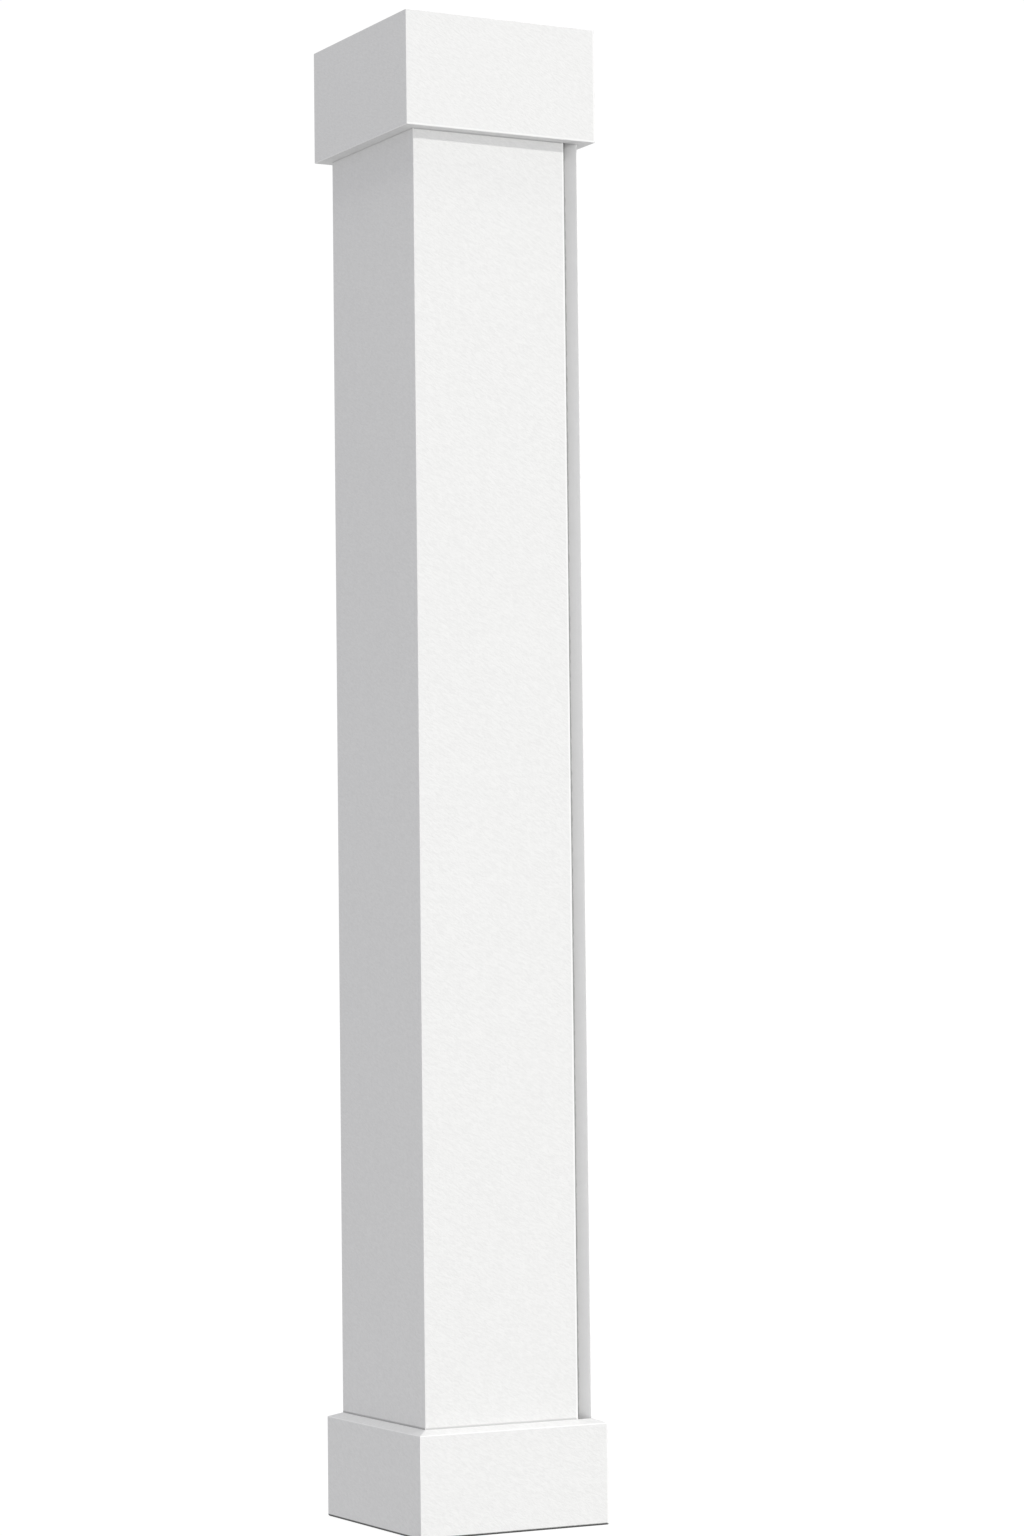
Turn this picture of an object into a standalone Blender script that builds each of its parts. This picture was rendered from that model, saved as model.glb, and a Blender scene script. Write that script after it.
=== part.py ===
# Square exterior column built from flat boards: a boxed shaft of four boards that runs the
# full height, a tall cap collar and a slightly lower base collar of four mitred boards each.
# The shaft is hollow and open at both ends, so it can be closed around a post.
# Metres, +Z up. The origin is on the ground, at the middle of the column. The front faces -Y.

import bpy
import bmesh
from mathutils import Vector

# Overall sizes
COLUMN_HEIGHT = 2.438
SHAFT_WIDTH = 0.302
CAP_HEIGHT = 0.186
BASE_HEIGHT = 0.170

# Thickness of the boards
SHAFT_BOARD = 0.025
CAP_BOARD = 0.022
BASE_BOARD = 0.019

# The base collar's top falls outwards by this much, to shed rain
BASE_TOP_FALL = 0.007

# The closing board on the right is mitred, but the front and back boards stop at its inner face,
# so the two right corners stay open as grooves. Both arrises of its mitre are blunted this wide.
CLOSING_LAND = 0.002

# Sanded corners, rims and arrises, and the chamfer that eases the foot of the base collar
ARRIS_RADIUS = 0.0012
ROUND_SEGMENTS = 4
FOOT_CHAMFER = 0.002

# Clearance that is left between two boards that touch
JOINT_GAP = 0.0003

COLUMN_NAME = "square_exterior_column"
PAINT_WHITE = (0.80, 0.80, 0.79, 1.0)
SHAFT_ROUGHNESS = 0.46
COLLAR_ROUGHNESS = 0.44

TOLERANCE = 1e-5


def clear_scene():
    """Removes whatever the scene holds, so that the column is all there is."""
    for item in list(bpy.data.objects):
        bpy.data.objects.remove(item, do_unlink=True)
    for collection in list(bpy.data.collections):
        bpy.data.collections.remove(collection)


def painted_board(name, roughness):
    """The white finish of one board."""
    material = bpy.data.materials.new(name + "_finish")
    material.use_nodes = True
    shader = material.node_tree.nodes["Principled BSDF"]
    shader.inputs["Base Color"].default_value = PAINT_WHITE
    shader.inputs["Roughness"].default_value = roughness
    shader.inputs["Metallic"].default_value = 0.0
    material.diffuse_color = PAINT_WHITE
    return material


def add_board(name, low, high, collection, roughness, slope=None, rounded=(), cuts=()):
    """Makes one board as a box between two corners, then slopes its top, rounds and cuts it.

    rounded holds tests that pick edges by their two end points. slope is one cut and cuts are
    several, each a pair of a point on the cut and the direction that is cut away.
    """
    low = Vector(low)
    high = Vector(high)
    shape = bmesh.new()
    bmesh.ops.create_cube(shape, size=1.0)
    bmesh.ops.scale(shape, vec=high - low, verts=shape.verts)
    bmesh.ops.translate(shape, vec=(low + high) / 2, verts=shape.verts)
    if slope:
        cut_off(shape, *slope)
    round_edges(shape, rounded)
    for point, away in cuts:
        cut_off(shape, point, away)
    mesh = bpy.data.meshes.new(name)
    shape.to_mesh(mesh)
    shape.free()
    board = bpy.data.objects.new(name, mesh)
    board.data.materials.append(painted_board(name, roughness))
    collection.objects.link(board)
    return board


def round_edges(shape, tests):
    """Rounds the edges that any of the tests picks."""
    picked = [edge for edge in shape.edges
              if any(test(edge.verts[0].co, edge.verts[1].co) for test in tests)]
    bmesh.ops.bevel(shape, geom=picked, offset=ARRIS_RADIUS, segments=ROUND_SEGMENTS,
                    profile=0.5, affect="EDGES", clamp_overlap=True, material=-1)


def cut_off(shape, point, away):
    """Cuts the board with a plane and closes the cut."""
    geometry = shape.verts[:] + shape.edges[:] + shape.faces[:]
    result = bmesh.ops.bisect_plane(shape, geom=geometry, plane_co=point, plane_no=away,
                                    clear_outer=True, dist=TOLERANCE / 10)
    rim = [item for item in result["geom_cut"] if isinstance(item, bmesh.types.BMEdge)]
    bmesh.ops.edgenet_fill(shape, edges=rim)
    bmesh.ops.recalc_face_normals(shape, faces=shape.faces)


def upright_at(x, y):
    """A test for the upright edge that stands at x, y."""
    def test(a, b):
        return all(abs(p.x - x) < TOLERANCE and abs(p.y - y) < TOLERANCE for p in (a, b))
    return test


def level_at(axis, place, z):
    """A test for the level edge that lies at height z, where the axis reads place."""
    def test(a, b):
        return all(abs(p[axis] - place) < TOLERANCE and abs(p.z - z) < TOLERANCE
                   for p in (a, b))
    return test


def mitre(corner_x, corner_y, away):
    """A cut through an upright corner at 45 degrees, half a joint gap back from it."""
    away = Vector(away).normalized()
    return Vector((corner_x, corner_y, 0)) - away * JOINT_GAP / 2, away


def add_shaft(collection):
    """Three boards mitred at the two left corners, and a closing board across the right."""
    half = SHAFT_WIDTH / 2
    inner = half - SHAFT_BOARD
    add_board("shaft_left_board", (-half, -half, 0), (-inner, half, COLUMN_HEIGHT),
              collection, SHAFT_ROUGHNESS,
              rounded=[upright_at(-half, -half), upright_at(-half, half)],
              cuts=[mitre(-half, -half, (1, -1, 0)), mitre(-half, half, (1, 1, 0))])
    closed_at = inner - JOINT_GAP
    for name, side in (("shaft_front_board", -1), ("shaft_back_board", 1)):
        near, far = sorted((side * inner, side * half))
        add_board(name, (-half, near, 0), (closed_at, far, COLUMN_HEIGHT),
                  collection, SHAFT_ROUGHNESS,
                  rounded=[upright_at(-half, side * half), upright_at(closed_at, side * half)],
                  cuts=[mitre(-half, side * half, (-1, -side, 0))])
    add_board("shaft_right_closing_board", (inner, -half, 0), (half, half, COLUMN_HEIGHT),
              collection, SHAFT_ROUGHNESS,
              rounded=[upright_at(half, -half), upright_at(half, half)],
              cuts=[(Vector((half - CLOSING_LAND, side * half, 0)),
                     Vector((-1, side, 0)).normalized()) for side in (-1, 1)])


def add_collar(place, thickness, bottom, top, shown_rim, fall, chamfer, collection):
    """Four boards mitred around the shaft, whose tops fall outwards by the length of fall.

    shown_rim is the height of the outer rim that is sanded round. The lower outer rim has a
    chamfer, unless its size is 0.
    """
    inner = SHAFT_WIDTH / 2 + JOINT_GAP
    half = inner + thickness
    for axis, side, word in ((1, -1, "front"), (1, 1, "back"), (0, -1, "left"), (0, 1, "right")):
        near, far = sorted((side * inner, side * half))
        low = [-half, -half, bottom]
        high = [half, half, top]
        low[axis] = near
        high[axis] = far
        outwards = [0, 0, thickness]
        outwards[axis] = side * fall
        inner_rim = [0, 0, top]
        inner_rim[axis] = side * inner
        cuts = [mitre(*corner(axis, side * half, end * half), (*corner(axis, -side, end), 0))
                for end in (-1, 1)]
        if chamfer:
            lower_rim = [0, 0, bottom + chamfer]
            lower_rim[axis] = side * half
            downwards = [0, 0, -1]
            downwards[axis] = side
            cuts.append((lower_rim, downwards))
        add_board(f"{place}_{word}_board", low, high, collection, COLLAR_ROUGHNESS,
                  slope=(inner_rim, outwards) if fall else None,
                  rounded=[level_at(axis, side * half, shown_rim)]
                  + [upright_at(*corner(axis, side * half, end * half)) for end in (-1, 1)],
                  cuts=cuts)


def corner(axis, across, along):
    """The x and y of a point that reads across on the given axis and along on the other."""
    return (across, along) if axis == 0 else (along, across)


def build():
    clear_scene()
    collection = bpy.data.collections.new(COLUMN_NAME)
    bpy.context.scene.collection.children.link(collection)
    add_shaft(collection)
    cap_underside = COLUMN_HEIGHT - CAP_HEIGHT
    add_collar("cap", CAP_BOARD, cap_underside, COLUMN_HEIGHT,
               shown_rim=cap_underside, fall=0, chamfer=0, collection=collection)
    add_collar("base", BASE_BOARD, 0, BASE_HEIGHT,
               shown_rim=BASE_HEIGHT - BASE_TOP_FALL, fall=BASE_TOP_FALL, chamfer=FOOT_CHAMFER,
               collection=collection)


build()
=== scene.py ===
# Square exterior column of flat white boards. The sections follow the real column as it is put
# together: the shaft boards, the closing board, the cap collar and the base collar, then the
# studio around it.

import math

import bmesh
import bpy
from mathutils import Matrix, Vector


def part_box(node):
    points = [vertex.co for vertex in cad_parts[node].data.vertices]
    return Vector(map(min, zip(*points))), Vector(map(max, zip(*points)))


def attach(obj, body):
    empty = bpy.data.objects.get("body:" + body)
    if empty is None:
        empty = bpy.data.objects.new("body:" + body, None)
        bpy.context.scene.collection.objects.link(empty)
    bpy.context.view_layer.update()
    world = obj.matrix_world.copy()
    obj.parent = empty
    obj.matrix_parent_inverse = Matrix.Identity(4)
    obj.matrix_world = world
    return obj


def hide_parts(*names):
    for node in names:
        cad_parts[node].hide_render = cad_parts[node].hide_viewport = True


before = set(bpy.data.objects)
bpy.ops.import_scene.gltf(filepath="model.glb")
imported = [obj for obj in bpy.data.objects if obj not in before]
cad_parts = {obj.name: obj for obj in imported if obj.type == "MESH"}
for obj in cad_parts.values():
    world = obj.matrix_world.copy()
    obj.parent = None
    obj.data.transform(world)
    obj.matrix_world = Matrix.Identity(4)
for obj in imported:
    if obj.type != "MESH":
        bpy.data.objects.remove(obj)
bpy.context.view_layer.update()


# Left shaft board. A flat board of white cellular plastic as tall as the column. Both long edges
# are mitred and glued to the front and back boards, and the corners are then sanded round.

left_low, left_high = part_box("shaft_left_board")
column_height = left_high.z
shaft_half = -left_low.x
shaft_inner = -left_high.x

arris_radius = 0.0012
arris_segments = 6
highlight_band_width = 0.0032
glue_line = 0.0001
tolerance = 0.00002
cut_tolerance = 0.000001
squarely = 0.98
sharp_angle = 30

skin_white = (0.815, 0.815, 0.815, 1.0)
skin_grey = (0.76, 0.76, 0.76, 1.0)
skin_relief = 0.00014
skin_specular = 0.2
shaft_gloss = 0.50
ripple_slant = -26.0
foam_white = (0.74, 0.74, 0.735, 1.0)
foam_grey = (0.66, 0.66, 0.66, 1.0)
foam_relief = 0.00008
foam_specular = 0.3
foam_roughness = 0.74
# The sanded rounds and strips are matte, and whiter than the skin as a painted highlight on the arrises.
sanded_highlight_white = (0.90, 0.90, 0.90, 1.0)
sanded_highlight_grey = (0.86, 0.86, 0.86, 1.0)

upwards = (0, 0, 1)
side_axis = (1, 0, 0)
front_axis = (0, 1, 0)
upright_lines = (300, 300, 2)

# Painted shade in the joints with the collars: its height, how far it reaches, and how light its grey is
painted_shade_hardness = 1.6
base_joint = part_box("base_left_board")[1].z
cap_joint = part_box("cap_left_board")[0].z
side_joint_shade = ((base_joint, 0.0038, 0.44), (cap_joint, 0.0022, 0.64))

# The order in which every shaft board has its materials
skin_face, end_face, sanded_highlight_face, inner_face = range(4)


def new_group(name, inputs, outputs):
    """An empty shader node group with its sockets, its node tree and its two end nodes."""
    tree = bpy.data.node_groups.new(name, "ShaderNodeTree")
    for label, kind, value in inputs:
        socket = tree.interface.new_socket(label, in_out="INPUT", socket_type=kind)
        socket.default_value = value
    for label, kind in outputs:
        tree.interface.new_socket(label, in_out="OUTPUT", socket_type=kind)
    return tree, tree.nodes.new("NodeGroupInput"), tree.nodes.new("NodeGroupOutput")


def feed(tree, value, socket):
    """Gives an input its value, which is another node's output or a plain constant."""
    if isinstance(value, bpy.types.NodeSocket):
        tree.links.new(value, socket)
    else:
        socket.default_value = value


def math_node(tree, operation, first, second):
    """A Math node whose two inputs are sockets or plain numbers. Gives its output socket."""
    node = tree.nodes.new("ShaderNodeMath")
    node.operation = operation
    feed(tree, first, node.inputs[0])
    feed(tree, second, node.inputs[1])
    return node.outputs[0]


def noise_node(tree, place, scale, detail, roughness=0.5, swirl=0.0):
    """A Noise texture that reads the given coordinates. Gives its value, which is about 0 to 1."""
    node = tree.nodes.new("ShaderNodeTexNoise")
    tree.links.new(place, node.inputs["Vector"])
    node.inputs["Scale"].default_value = scale
    node.inputs["Detail"].default_value = detail
    node.inputs["Roughness"].default_value = roughness
    node.inputs["Distortion"].default_value = swirl
    return node.outputs["Fac"]


def stretched(tree, place, stretch):
    """Coordinates scaled by a vector socket, for a pattern that runs along the board."""
    node = tree.nodes.new("ShaderNodeVectorMath")
    node.operation = "MULTIPLY"
    tree.links.new(place, node.inputs[0])
    tree.links.new(stretch, node.inputs[1])
    return node.outputs[0]


def turned(tree, place, axis, angle):
    """Coordinates turned around an axis socket, for a pattern that runs aslant."""
    node = tree.nodes.new("ShaderNodeVectorRotate")
    node.rotation_type = "AXIS_ANGLE"
    node.inputs["Angle"].default_value = math.radians(angle)
    tree.links.new(place, node.inputs["Vector"])
    tree.links.new(axis, node.inputs["Axis"])
    return node.outputs[0]


def centred(tree, value, amount):
    """A 0 to 1 value turned into one around 0 that reaches about amount each way."""
    return math_node(tree, "MULTIPLY", math_node(tree, "SUBTRACT", value, 0.5), 2 * amount)


def make_skin_group():
    """The closed skin of the board: cloudy tone, faint extrusion lines and a fine slanting ripple."""
    tree, source, result = new_group(
        "extruded_skin",
        [("Place", "NodeSocketVector", (0, 0, 0)),
         ("Line stretch", "NodeSocketVector", (300, 300, 2)),
         ("Ripple stretch", "NodeSocketVector", (115, 115, 320)),
         ("Face axis", "NodeSocketVector", (0, 1, 0)),
         ("Gloss level", "NodeSocketFloat", 0.45)],
        [("Mask", "NodeSocketFloat"), ("Roughness", "NodeSocketFloat"), ("Height", "NodeSocketFloat")])
    place = source.outputs["Place"]
    lines = noise_node(tree, stretched(tree, place, source.outputs["Line stretch"]), 1.0, 3.0, 0.6)
    clouds = noise_node(tree, place, 9.0, 4.0, 0.55)
    patches = noise_node(tree, place, 70.0, 3.0)
    aslant = turned(tree, place, source.outputs["Face axis"], ripple_slant)
    ripple = noise_node(tree, stretched(tree, aslant, source.outputs["Ripple stretch"]), 1.0, 2.0,
                        0.6, swirl=0.6)
    pebble = noise_node(tree, place, 520.0, 2.0)
    grit = noise_node(tree, place, 2600.0, 1.0)

    tone = math_node(tree, "ADD", centred(tree, clouds, 0.16), centred(tree, lines, 0.16))
    tone = math_node(tree, "ADD", tone, centred(tree, patches, 0.18))
    tone = math_node(tree, "ADD", tone, centred(tree, ripple, 1.3))
    tree.links.new(math_node(tree, "ADD", tone, 0.5), result.inputs["Mask"])

    gloss = math_node(tree, "ADD", centred(tree, clouds, 0.05), centred(tree, pebble, 0.05))
    gloss = math_node(tree, "ADD", gloss, centred(tree, lines, 0.03))
    tree.links.new(math_node(tree, "ADD", gloss, source.outputs["Gloss level"]),
                   result.inputs["Roughness"])

    height = math_node(tree, "ADD", centred(tree, pebble, 0.2), centred(tree, lines, 0.12))
    height = math_node(tree, "ADD", height, centred(tree, ripple, 1.0))
    height = math_node(tree, "ADD", height, centred(tree, grit, 0.05))
    tree.links.new(height, result.inputs["Height"])
    return tree


skin_group = make_skin_group()


def make_painted_band_group():
    """A ragged band for painted shade and highlight: a mask that is up at one level across the board and
    fades.
    """
    tree, source, result = new_group(
        "painted_shade_and_light_band",
        [("Place", "NodeSocketVector", (0, 0, 0)),
         ("Across", "NodeSocketVector", (0, 0, 1)),
         ("Level", "NodeSocketFloat", 0.0),
         ("Reach", "NodeSocketFloat", 0.004),
         ("Hardness", "NodeSocketFloat", 1.0)],
        [("Mask", "NodeSocketFloat")])
    dot = tree.nodes.new("ShaderNodeVectorMath")
    dot.operation = "DOT_PRODUCT"
    tree.links.new(source.outputs["Place"], dot.inputs[0])
    tree.links.new(source.outputs["Across"], dot.inputs[1])
    away = math_node(tree, "SUBTRACT", dot.outputs["Value"], source.outputs["Level"])
    share = math_node(tree, "DIVIDE", math_node(tree, "ABSOLUTE", away, 0.0), source.outputs["Reach"])
    ragged = centred(tree, noise_node(tree, source.outputs["Place"], 90.0, 3.0), 0.12)
    near = math_node(tree, "ADD", math_node(tree, "SUBTRACT", 1.0, share), ragged)
    held = math_node(tree, "MINIMUM", math_node(tree, "MULTIPLY", near, source.outputs["Hardness"]), 1.0)
    tree.links.new(math_node(tree, "MAXIMUM", held, 0.0), result.inputs["Mask"])
    return tree


painted_band_group = make_painted_band_group()


def start_material(name):
    """A material with its node tree, its Principled shader and its Object coordinates."""
    material = bpy.data.materials.new(name)
    material.use_nodes = True
    tree = material.node_tree
    shader = tree.nodes["Principled BSDF"]
    place = tree.nodes.new("ShaderNodeTexCoord").outputs["Object"]
    return material, tree, shader, place


def laid_over(tree, under, over, mask):
    """A colour with another laid over it where the mask is up. Both are sockets or constants."""
    node = tree.nodes.new("ShaderNodeMix")
    node.data_type = "RGBA"
    first, second = [socket for socket in node.inputs if socket.type == "RGBA"]
    feed(tree, under, first)
    feed(tree, over, second)
    tree.links.new(mask, node.inputs["Factor"])
    return next(socket for socket in node.outputs if socket.type == "RGBA")


def add_bump(tree, shader, height, depth):
    """Feeds a height, in shares of depth, to the shader's normal."""
    bump = tree.nodes.new("ShaderNodeBump")
    bump.inputs["Strength"].default_value = 1.0
    bump.inputs["Distance"].default_value = depth
    tree.links.new(height, bump.inputs["Height"])
    tree.links.new(bump.outputs["Normal"], shader.inputs["Normal"])


def painted_band_mask(tree, place, across, level, reach, hardness):
    """The mask of one band of painted shade or painted highlight along a level."""
    painted_band = tree.nodes.new("ShaderNodeGroup")
    painted_band.node_tree = painted_band_group
    painted_band.inputs["Across"].default_value = across
    painted_band.inputs["Level"].default_value = level
    painted_band.inputs["Reach"].default_value = reach
    painted_band.inputs["Hardness"].default_value = hardness
    tree.links.new(place, painted_band.inputs["Place"])
    return painted_band.outputs["Mask"]


def skin_material(name, line_stretch, face_axis, gloss_level, painted_band=()):
    """The satin skin. Its extrusion lines run along the board and its ripple across the face."""
    material, tree, shader, place = start_material(name)
    skin = tree.nodes.new("ShaderNodeGroup")
    skin.node_tree = skin_group
    skin.inputs["Line stretch"].default_value = line_stretch
    skin.inputs["Face axis"].default_value = face_axis
    skin.inputs["Gloss level"].default_value = gloss_level
    tree.links.new(place, skin.inputs["Place"])
    colour = laid_over(tree, skin_grey, skin_white, skin.outputs["Mask"])
    # Bands of painted shade darken the skin along the joints with the collars.
    for height, reach, grey in painted_band:
        mask = painted_band_mask(tree, place, upwards, height, reach, painted_shade_hardness)
        colour = laid_over(tree, colour, (grey, grey, grey, 1.0), mask)
    tree.links.new(colour, shader.inputs["Base Color"])
    tree.links.new(skin.outputs["Roughness"], shader.inputs["Roughness"])
    add_bump(tree, shader, skin.outputs["Height"], skin_relief)
    shader.inputs["Specular IOR Level"].default_value = skin_specular
    return material


def make_foam_group():
    """A sawn face of the foam core: open pores, saw lines across it and a chalky tone."""
    tree, source, result = new_group(
        "sawn_foam",
        [("Place", "NodeSocketVector", (0, 0, 0)),
         ("Line stretch", "NodeSocketVector", (6, 6, 900))],
        [("Mask", "NodeSocketFloat"), ("Roughness", "NodeSocketFloat"), ("Height", "NodeSocketFloat")])
    place = source.outputs["Place"]
    saw = noise_node(tree, stretched(tree, place, source.outputs["Line stretch"]), 1.0, 2.0, 0.7)
    chalk = noise_node(tree, place, 60.0, 4.0, 0.6)
    pores = tree.nodes.new("ShaderNodeTexVoronoi")
    pores.inputs["Scale"].default_value = 1500.0
    tree.links.new(place, pores.inputs["Vector"])
    pits = math_node(tree, "MINIMUM", math_node(tree, "MULTIPLY", pores.outputs["Distance"], 2.2), 1.0)

    tone = math_node(tree, "ADD", centred(tree, chalk, 0.5), centred(tree, saw, 0.35))
    tone = math_node(tree, "ADD", tone, centred(tree, pits, 0.2))
    tree.links.new(math_node(tree, "ADD", tone, 0.45), result.inputs["Mask"])
    tree.links.new(math_node(tree, "ADD", centred(tree, chalk, 0.06), foam_roughness),
                   result.inputs["Roughness"])
    height = math_node(tree, "ADD", centred(tree, saw, 0.6), centred(tree, pits, 0.4))
    tree.links.new(height, result.inputs["Height"])
    return tree


foam_group = make_foam_group()


def foam_material(name, line_stretch, dark, light, overlays=()):
    """A chalky sawn face with its saw lines, and painted shade and light laid over it where masks are
    up.
    """
    material, tree, shader, place = start_material(name)
    foam = tree.nodes.new("ShaderNodeGroup")
    foam.node_tree = foam_group
    foam.inputs["Line stretch"].default_value = line_stretch
    tree.links.new(place, foam.inputs["Place"])
    colour = laid_over(tree, dark, light, foam.outputs["Mask"])
    for tone, *setting in overlays:
        colour = laid_over(tree, colour, tone, painted_band_mask(tree, place, *setting))
    tree.links.new(colour, shader.inputs["Base Color"])
    tree.links.new(foam.outputs["Roughness"], shader.inputs["Roughness"])
    add_bump(tree, shader, foam.outputs["Height"], foam_relief)
    shader.inputs["Specular IOR Level"].default_value = foam_specular
    return material


side_skin = skin_material("shaft_skin_left_and_right", upright_lines, side_axis, shaft_gloss,
                          side_joint_shade)
inner_side_skin = skin_material("shaft_inside_left_and_right", upright_lines, side_axis, shaft_gloss)
sawn_end = foam_material("sawn_board_end", (90, 90, 90), foam_grey, foam_white)
# The sanded arris material carries the painted highlight of the rounds.
sanded_arris_highlight = foam_material("sanded_arris_highlight", (400, 400, 400), sanded_highlight_grey, sanded_highlight_white)


def along(axis, *values):
    """A test for the edges of a board that run along an axis, through given places on the others."""
    others = [other for other in range(3) if other != axis]

    def test(edge):
        a, b = edge.verts[0].co, edge.verts[1].co
        return all(abs(p[other] - value) < tolerance
                   for p in (a, b) for other, value in zip(others, values))
    return test


def round_over(shape, tests):
    """Rounds the edges that a test picks, and gives the round its sanded face with a painted highlight.
    """
    picked = [edge for edge in shape.edges if any(test(edge) for test in tests)]
    result = bmesh.ops.bevel(shape, geom=picked, offset=arris_radius, segments=arris_segments,
                             profile=0.5, affect="EDGES", clamp_overlap=True, material=-1)
    for face in result["faces"]:
        face.material_index = sanded_highlight_face


def paint_highlight_band(shape, axis, place, side):
    """Marks off the skin strip beyond a place on an axis, next to a round, as sanded with painted
    highlight.
    """
    cut_at = Vector((0, 0, 0))
    cut_at[axis] = place
    across = Vector((0, 0, 0))
    across[axis] = side
    geometry = shape.verts[:] + shape.edges[:] + shape.faces[:]
    bmesh.ops.bisect_plane(shape, geom=geometry, plane_co=cut_at, plane_no=across,
                           dist=cut_tolerance)
    for face in shape.faces:
        beyond = (face.calc_center_median()[axis] - place) * side > 0
        turned_away = abs(face.normal[axis]) < 0.5
        if beyond and turned_away and face.material_index == skin_face:
            face.material_index = sanded_highlight_face


def saw_off(shape, point, away, face_material=skin_face):
    """Cuts the board with a plane, drops the side that away points to, and closes the cut."""
    geometry = shape.verts[:] + shape.edges[:] + shape.faces[:]
    cut = bmesh.ops.bisect_plane(shape, geom=geometry, plane_co=point, plane_no=away,
                                 clear_outer=True, dist=cut_tolerance)
    rim = [item for item in cut["geom_cut"] if isinstance(item, bmesh.types.BMEdge)]
    closed = bmesh.ops.edgenet_fill(shape, edges=rim)
    for face in closed["faces"]:
        face.material_index = face_material
    bmesh.ops.recalc_face_normals(shape, faces=shape.faces)


def start_board(low, high):
    """A board as a plain box between two corners."""
    low, high = Vector(low), Vector(high)
    shape = bmesh.new()
    bmesh.ops.create_cube(shape, size=1.0)
    bmesh.ops.scale(shape, vec=high - low, verts=shape.verts)
    bmesh.ops.translate(shape, vec=(low + high) / 2, verts=shape.verts)
    return shape


def mark_faces(shape, axis, index):
    """Gives the faces that look along an axis another material."""
    for face in shape.faces:
        if abs(face.normal[axis]) > squarely:
            face.material_index = index


def mark_inside(shape, axis, place):
    """Gives the face that looks into the hollow of the shaft its own material."""
    for face in shape.faces:
        flat = abs(face.normal[axis]) > squarely
        if flat and abs(face.calc_center_median()[axis] - place) < tolerance:
            face.material_index = inner_face


def finish_board(shape, name, materials, node):
    """Turns the shape into the shown board, which stands for its node on the column."""
    mesh = bpy.data.meshes.new(name)
    shape.to_mesh(mesh)
    shape.free()
    for material in materials:
        mesh.materials.append(material)
    mesh.shade_smooth()
    mesh.set_sharp_from_angle(angle=math.radians(sharp_angle))
    board = bpy.data.objects.new(name, mesh)
    bpy.context.scene.collection.objects.link(board)
    weighted = board.modifiers.new("flat_faces_stay_flat", "WEIGHTED_NORMAL")
    weighted.mode = "FACE_AREA"
    weighted.weight = 100
    weighted.keep_sharp = True
    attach(board, "root")
    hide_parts(node)


def mitre_point(corner_x, corner_y, away):
    """A point on the mitre through a corner, set back by half the glue line."""
    away = Vector(away).normalized()
    return Vector((corner_x, corner_y, 0)) - away * glue_line / 2, away


shape = start_board((-shaft_half, -shaft_half, 0), (-shaft_inner, shaft_half, column_height))
mark_faces(shape, 2, end_face)
mark_inside(shape, 0, -shaft_inner)
round_over(shape, [along(2, -shaft_half, -shaft_half), along(2, -shaft_half, shaft_half)])
saw_off(shape, *mitre_point(-shaft_half, -shaft_half, (1, -1, 0)), face_material=end_face)
saw_off(shape, *mitre_point(-shaft_half, shaft_half, (1, 1, 0)), face_material=end_face)
finish_board(shape, "left_shaft_board", [side_skin, sawn_end, sanded_arris_highlight, inner_side_skin],
             "shaft_left_board")


# Front and back shaft boards. The same board, mitred at its left edge only. The right edge is
# sawn square, its arris is eased with a block, and it is glued against the closing board.

square_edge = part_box("shaft_front_board")[1].x
# Painted shade in the joints with the collars on the front and back boards: height, reach and grey.
face_joint_shade = ((base_joint, 0.0036, 0.58), (cap_joint, 0.0022, 0.60))
face_skin = skin_material("shaft_skin_front_and_back", upright_lines, front_axis, shaft_gloss,
                          face_joint_shade)
inner_face_skin = skin_material("shaft_inside_front_and_back", upright_lines, front_axis,
                                shaft_gloss)
edge_face = 4
sawn_white = (0.79, 0.79, 0.79, 1.0)
sawn_shade = (0.72, 0.72, 0.72, 1.0)
long_saw_lines = (700, 700, 5)
sawn_edge = foam_material("sawn_long_edge", long_saw_lines, sawn_shade, sawn_white)

for side, word in ((-1, "front"), (1, "back")):
    near, far = sorted((side * shaft_inner, side * shaft_half))
    shape = start_board((-shaft_half, near, 0), (square_edge, far, column_height))
    mark_faces(shape, 2, end_face)
    mark_faces(shape, 0, edge_face)
    mark_inside(shape, 1, side * shaft_inner)
    round_over(shape, [along(2, -shaft_half, side * shaft_half),
                       along(2, square_edge, side * shaft_half)])
    saw_off(shape, *mitre_point(-shaft_half, side * shaft_half, (-1, -side, 0)),
            face_material=end_face)
    paint_highlight_band(shape, 0, square_edge - highlight_band_width, 1)
    finish_board(shape, f"{word}_shaft_board",
                 [face_skin, sawn_end, sanded_arris_highlight, inner_face_skin, sawn_edge],
                 f"shaft_{word}_board")


# Closing board. The fourth side, put on last. Its long edges are mitred, but the front and back
# boards stop at its inner face, so both right corners stay open as grooves of raw sawn board.

closing_low, closing_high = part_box("shaft_right_closing_board")
closing_land = 0.002
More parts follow.
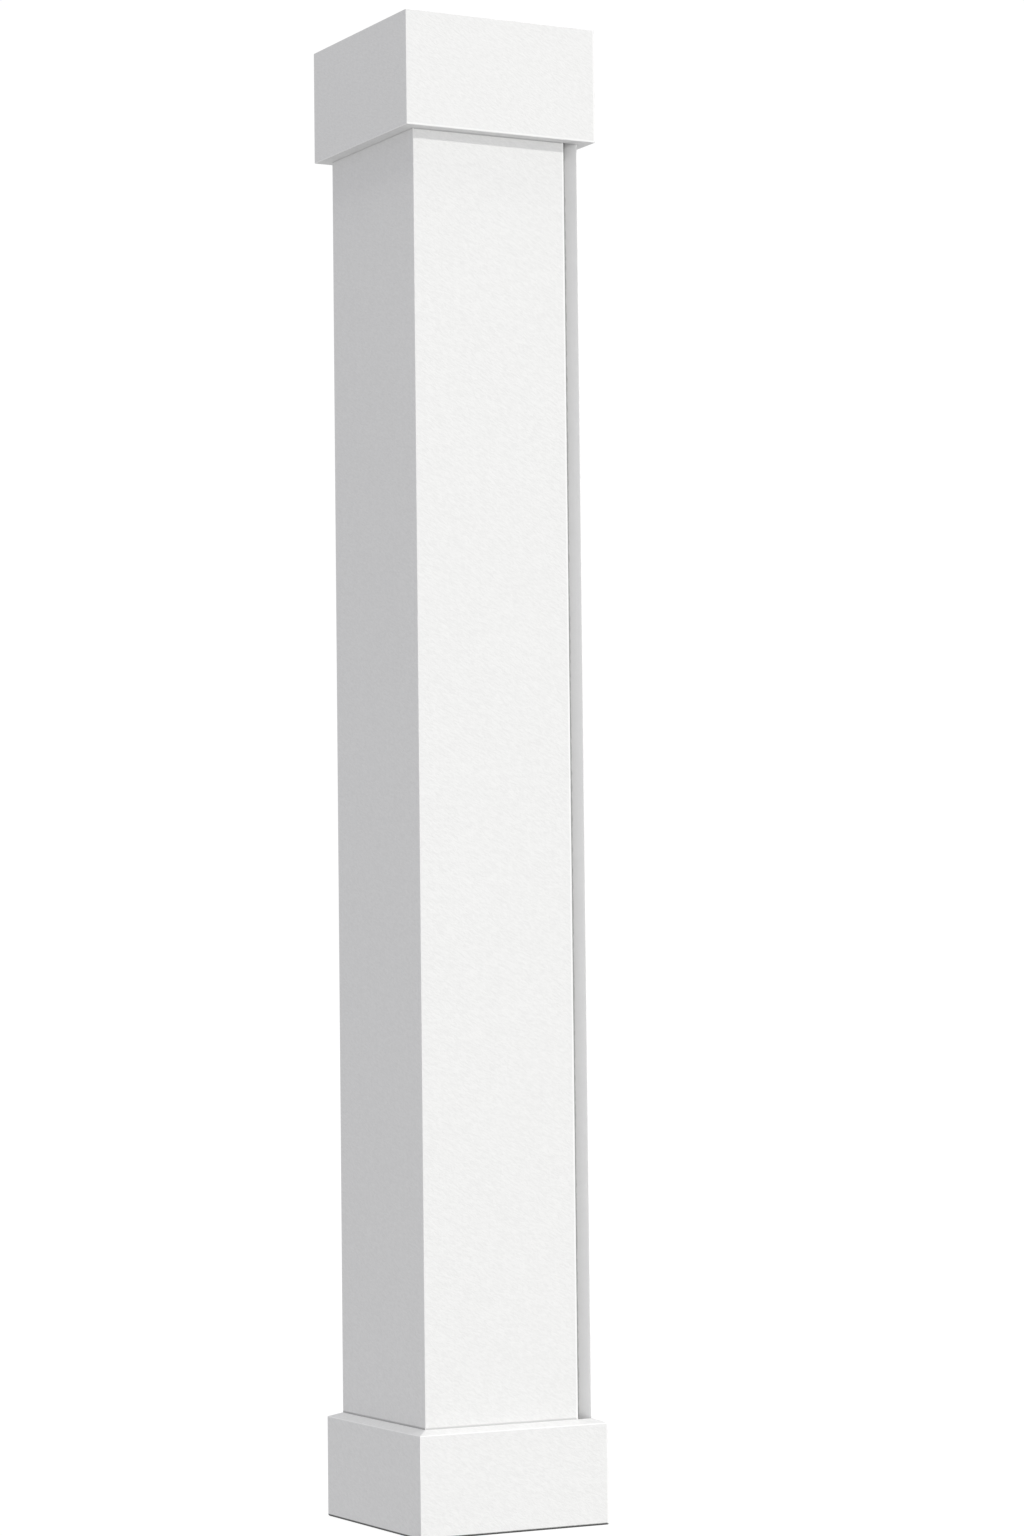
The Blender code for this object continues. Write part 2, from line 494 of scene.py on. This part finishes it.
# The open mitre is painted lighter towards the groove's mouth, as painted light, and darker towards its
# foot, as painted shade.
groove_painted_light = (0.87, 0.87, 0.87, 1.0)
groove_painted_shade = (0.46, 0.46, 0.46, 1.0)
groove_foot = closing_low.x
groove_mouth = closing_high.x - closing_land
mitre_depth = groove_mouth - groove_foot
mitre_white = (0.76, 0.76, 0.76, 1.0)
mitre_shade = (0.70, 0.70, 0.70, 1.0)
groove_light_reach = 0.66 * mitre_depth
groove_shade_reach = 0.42 * mitre_depth
groove_shade_and_light = ((groove_painted_light, side_axis, groove_mouth, groove_light_reach, 1.0),
                   (groove_painted_shade, side_axis, groove_foot, groove_shade_reach, 9.0))
open_mitre = foam_material("open_sawn_mitre", long_saw_lines, mitre_shade, mitre_white,
                           groove_shade_and_light)

shape = start_board((closing_low.x, -shaft_half, 0), (closing_high.x, shaft_half, column_height))
mark_faces(shape, 2, end_face)
mark_inside(shape, 0, closing_low.x)
round_over(shape, [along(2, closing_high.x, -shaft_half), along(2, closing_high.x, shaft_half)])
for side in (-1, 1):
    blunt = Vector((groove_mouth, side * shaft_half, 0))
    saw_off(shape, blunt, Vector((-1, side, 0)).normalized(), face_material=edge_face)
finish_board(shape, "right_closing_board",
             [side_skin, sawn_end, sanded_arris_highlight, inner_side_skin, open_mitre],
             "shaft_right_closing_board")


# Cap collar. Four boards laid level around the head of the shaft, mitred at the corners and
# nailed and glued to it. The lower rim and the corners are sanded round.

collar_gloss = 0.48
foot_chamfer = 0.002
rim_face, foot_face = 3, 4
rim_white = (0.74, 0.74, 0.74, 1.0)
rim_shade = (0.68, 0.68, 0.68, 1.0)
# The foot's chamfer is painted almost black, as painted shade for the contact line under the base.
foot_shade_light = (0.08, 0.08, 0.08, 1.0)
foot_shade_dark = (0.04, 0.04, 0.04, 1.0)

# Both collars share their skins. The painted shade lies at the height of the foot, so the cap stays free
# of it.
foot_painted_shade = ((foot_chamfer, 0.0020, 0.11),)
# The sawn rims are greyer than the skin; under the cap this grey also stands in for painted shade.
sawn_rim_with_shade = foam_material("sawn_collar_rim_painted_shade", (60, 60, 60), rim_shade, rim_white)
painted_foot_shade = foam_material("foot_edge_painted_shade", (300, 300, 300), foot_shade_dark, foot_shade_light)
crosswise_skin = skin_material("collar_skin_front_and_back", (2, 300, 300), front_axis,
                               collar_gloss, foot_painted_shade)
deepwise_skin = skin_material("collar_skin_left_and_right", (300, 2, 300), side_axis,
                              collar_gloss, foot_painted_shade)
collar_sides = ((1, -1, "front"), (1, 1, "back"), (0, -1, "left"), (0, 1, "right"))


def on_side(axis, across, along_board):
    """The x and y of a point that reads across on the axis and along_board on the other."""
    return (across, along_board) if axis == 0 else (along_board, across)


def collar_board(place, axis, side, word, inner, half, bottom, top, fall):
    """One collar board. The cap's is rounded at its lower rim, the base's at its upper one."""
    near, far = sorted((side * inner, side * half))
    low, high = [-half, -half, bottom], [half, half, top]
    low[axis], high[axis] = near, far
    shape = start_board(low, high)
    if fall:
        slope_away = [0, 0, half - inner]
        slope_away[axis] = side * fall
        inner_rim = [0, 0, top]
        inner_rim[axis] = side * inner
        saw_off(shape, Vector(inner_rim), Vector(slope_away).normalized())
    mark_faces(shape, 2, rim_face)
    run = 1 - axis
    shown_rim = top - fall if fall else bottom
    rim_test = along(run, side * half, shown_rim)
    corner_tests = [along(2, *on_side(axis, side * half, end * half)) for end in (-1, 1)]
    round_over(shape, [rim_test] + corner_tests)
    if fall:
        foot_rim = [0, 0, bottom + foot_chamfer]
        foot_rim[axis] = side * half
        downwards = [0, 0, -1]
        downwards[axis] = side
        saw_off(shape, Vector(foot_rim), Vector(downwards).normalized(), face_material=foot_face)
    for end in (-1, 1):
        corner = on_side(axis, side * half, end * half)
        away = (*on_side(axis, -side, end), 0)
        saw_off(shape, *mitre_point(*corner, away), face_material=end_face)
    if axis == 1:
        paint_highlight_band(shape, run, half - highlight_band_width, 1)
    if axis == 1 and not fall:
        paint_highlight_band(shape, 2, bottom + highlight_band_width, -1)
    skin = crosswise_skin if axis == 1 else deepwise_skin
    finish_board(shape, f"{word}_{place}_board",
                 [skin, sawn_end, sanded_arris_highlight, sawn_rim_with_shade, painted_foot_shade],
                 f"{place}_{word}_board")


cap_low, cap_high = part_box("cap_front_board")
for axis, side, word in collar_sides:
    collar_board("cap", axis, side, word, -cap_high.y, -cap_low.y, cap_low.z, cap_high.z, fall=0)


# Base collar. Four lower boards mitred around the foot of the shaft in the same way. Their tops
# are planed to fall outwards, so that rain runs off, and the upper rim is sanded round.

base_low, base_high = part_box("base_front_board")
base_fall = 0.007
for axis, side, word in collar_sides:
    collar_board("base", axis, side, word, -base_high.y, -base_low.y, base_low.z, base_high.z,
                 fall=base_fall)


# Studio floor. A plain pale light table, which glows evenly from below and carries only a faint
# contact shadow at the column's foot.

floor_reach = 60.0
table_glow = (0.70, 0.70, 0.70, 1.0)
table_seen = (0.87, 0.87, 0.87, 1.0)
table_cover = (0.18, 0.18, 0.18, 1.0)


def floor_material():
    """The light table. The camera sees it as white as the room behind the column."""
    material = bpy.data.materials.new("studio_floor")
    material.use_nodes = True
    tree = material.node_tree
    tree.nodes.remove(tree.nodes["Principled BSDF"])
    lit_below = tree.nodes.new("ShaderNodeEmission")
    lit_below.inputs["Color"].default_value = table_glow
    seen_glow = tree.nodes.new("ShaderNodeEmission")
    seen_glow.inputs["Color"].default_value = table_seen
    cover = tree.nodes.new("ShaderNodeBsdfDiffuse")
    cover.inputs["Color"].default_value = table_cover
    seen = tree.nodes.new("ShaderNodeAddShader")
    tree.links.new(seen_glow.outputs[0], seen.inputs[0])
    tree.links.new(cover.outputs[0], seen.inputs[1])
    rays = tree.nodes.new("ShaderNodeLightPath")
    choice = tree.nodes.new("ShaderNodeMixShader")
    tree.links.new(rays.outputs["Is Camera Ray"], choice.inputs["Fac"])
    tree.links.new(lit_below.outputs[0], choice.inputs[1])
    tree.links.new(seen.outputs[0], choice.inputs[2])
    tree.links.new(choice.outputs[0], tree.nodes["Material Output"].inputs["Surface"])
    return material


shape = bmesh.new()
bmesh.ops.create_grid(shape, x_segments=1, y_segments=1, size=floor_reach)
floor_mesh = bpy.data.meshes.new("studio_floor")
shape.to_mesh(floor_mesh)
shape.free()
floor_mesh.materials.append(floor_material())
floor = bpy.data.objects.new("studio_floor", floor_mesh)
bpy.context.scene.collection.objects.link(floor)


# Studio light. A key lamp well to the right, a low fill in front, a soft lamp high on the left
# and an even white room.


def add_lamp(name, height_angle, right_angle, spread, strength, colour):
    """A far lamp seen from the column at an angle above the floor and to the right of its front."""
    lamp = bpy.data.lights.new(name, "SUN")
    lamp.energy = strength
    lamp.angle = math.radians(spread)
    lamp.color = colour
    holder = bpy.data.objects.new(name, lamp)
    bpy.context.scene.collection.objects.link(holder)
    up, right = math.radians(height_angle), math.radians(right_angle)
    towards = Vector((math.sin(right) * math.cos(up), -math.cos(right) * math.cos(up), math.sin(up)))
    holder.rotation_mode = "QUATERNION"
    holder.rotation_quaternion = towards.to_track_quat("Z", "Y")


warm_white = (1.0, 0.998, 0.958)
add_lamp("key_lamp", height_angle=26, right_angle=50, spread=2, strength=1.46, colour=warm_white)
add_lamp("low_front_fill", height_angle=3, right_angle=20, spread=6, strength=0.67,
         colour=warm_white)
add_lamp("high_left_lamp", height_angle=75, right_angle=-60, spread=20, strength=0.77,
         colour=warm_white)

room_light = 0.535
room_tint = (0.986, 0.986, 1.0285, 1.0)
room_seen = (1.0, 1.0, 1.0, 1.0)
room_seen_light = 1.02
room = bpy.data.worlds.new("white_room")
bpy.context.scene.world = room
room.use_nodes = True
room_tree = room.node_tree
lit = room_tree.nodes["Background"]
lit.inputs["Color"].default_value = room_tint
lit.inputs["Strength"].default_value = room_light
seen = room_tree.nodes.new("ShaderNodeBackground")
seen.inputs["Color"].default_value = room_seen
seen.inputs["Strength"].default_value = room_seen_light
rays = room_tree.nodes.new("ShaderNodeLightPath")
choice = room_tree.nodes.new("ShaderNodeMixShader")
room_tree.links.new(rays.outputs["Is Camera Ray"], choice.inputs["Fac"])
room_tree.links.new(lit.outputs[0], choice.inputs[1])
room_tree.links.new(seen.outputs[0], choice.inputs[2])
room_tree.links.new(choice.outputs[0], room_tree.nodes["World Output"].inputs["Surface"])


# Camera. It stands in front of the column and to the left, at a little over a third of the
# column's height, and looks slightly up.

picture_long_side_px = 1536
focal_length_px = 3953.7
sensor_long_side = 36.0
far_clip = 500.0
camera_azimuth = math.radians(-27.288)
camera_distance = 6.509
camera_height = 0.893
camera_yaw = math.radians(-0.76)
camera_pitch = math.radians(2.95)
camera_roll = math.radians(-0.62)

camera_data = bpy.data.cameras.new("camera")
camera_data.sensor_width = sensor_long_side
camera_data.lens = focal_length_px * sensor_long_side / picture_long_side_px
camera_data.clip_end = far_clip
camera = bpy.data.objects.new("camera", camera_data)
bpy.context.scene.collection.objects.link(camera)
heading = camera_azimuth + camera_yaw
forward = Vector((-math.sin(heading) * math.cos(camera_pitch),
                  math.cos(heading) * math.cos(camera_pitch),
                  math.sin(camera_pitch)))
level_right = Vector((math.cos(heading), math.sin(heading), 0))
level_up = level_right.cross(forward)
right = level_right * math.cos(camera_roll) + level_up * math.sin(camera_roll)
up = level_up * math.cos(camera_roll) - level_right * math.sin(camera_roll)
camera_place = Matrix.Translation((math.sin(camera_azimuth) * camera_distance,
                                   -math.cos(camera_azimuth) * camera_distance,
                                   camera_height))
camera.matrix_world = camera_place @ Matrix((right, up, -forward)).transposed().to_4x4()
bpy.context.scene.camera = camera

bpy.context.scene.view_settings.view_transform = "Standard"
bpy.context.scene.view_settings.look = "None"
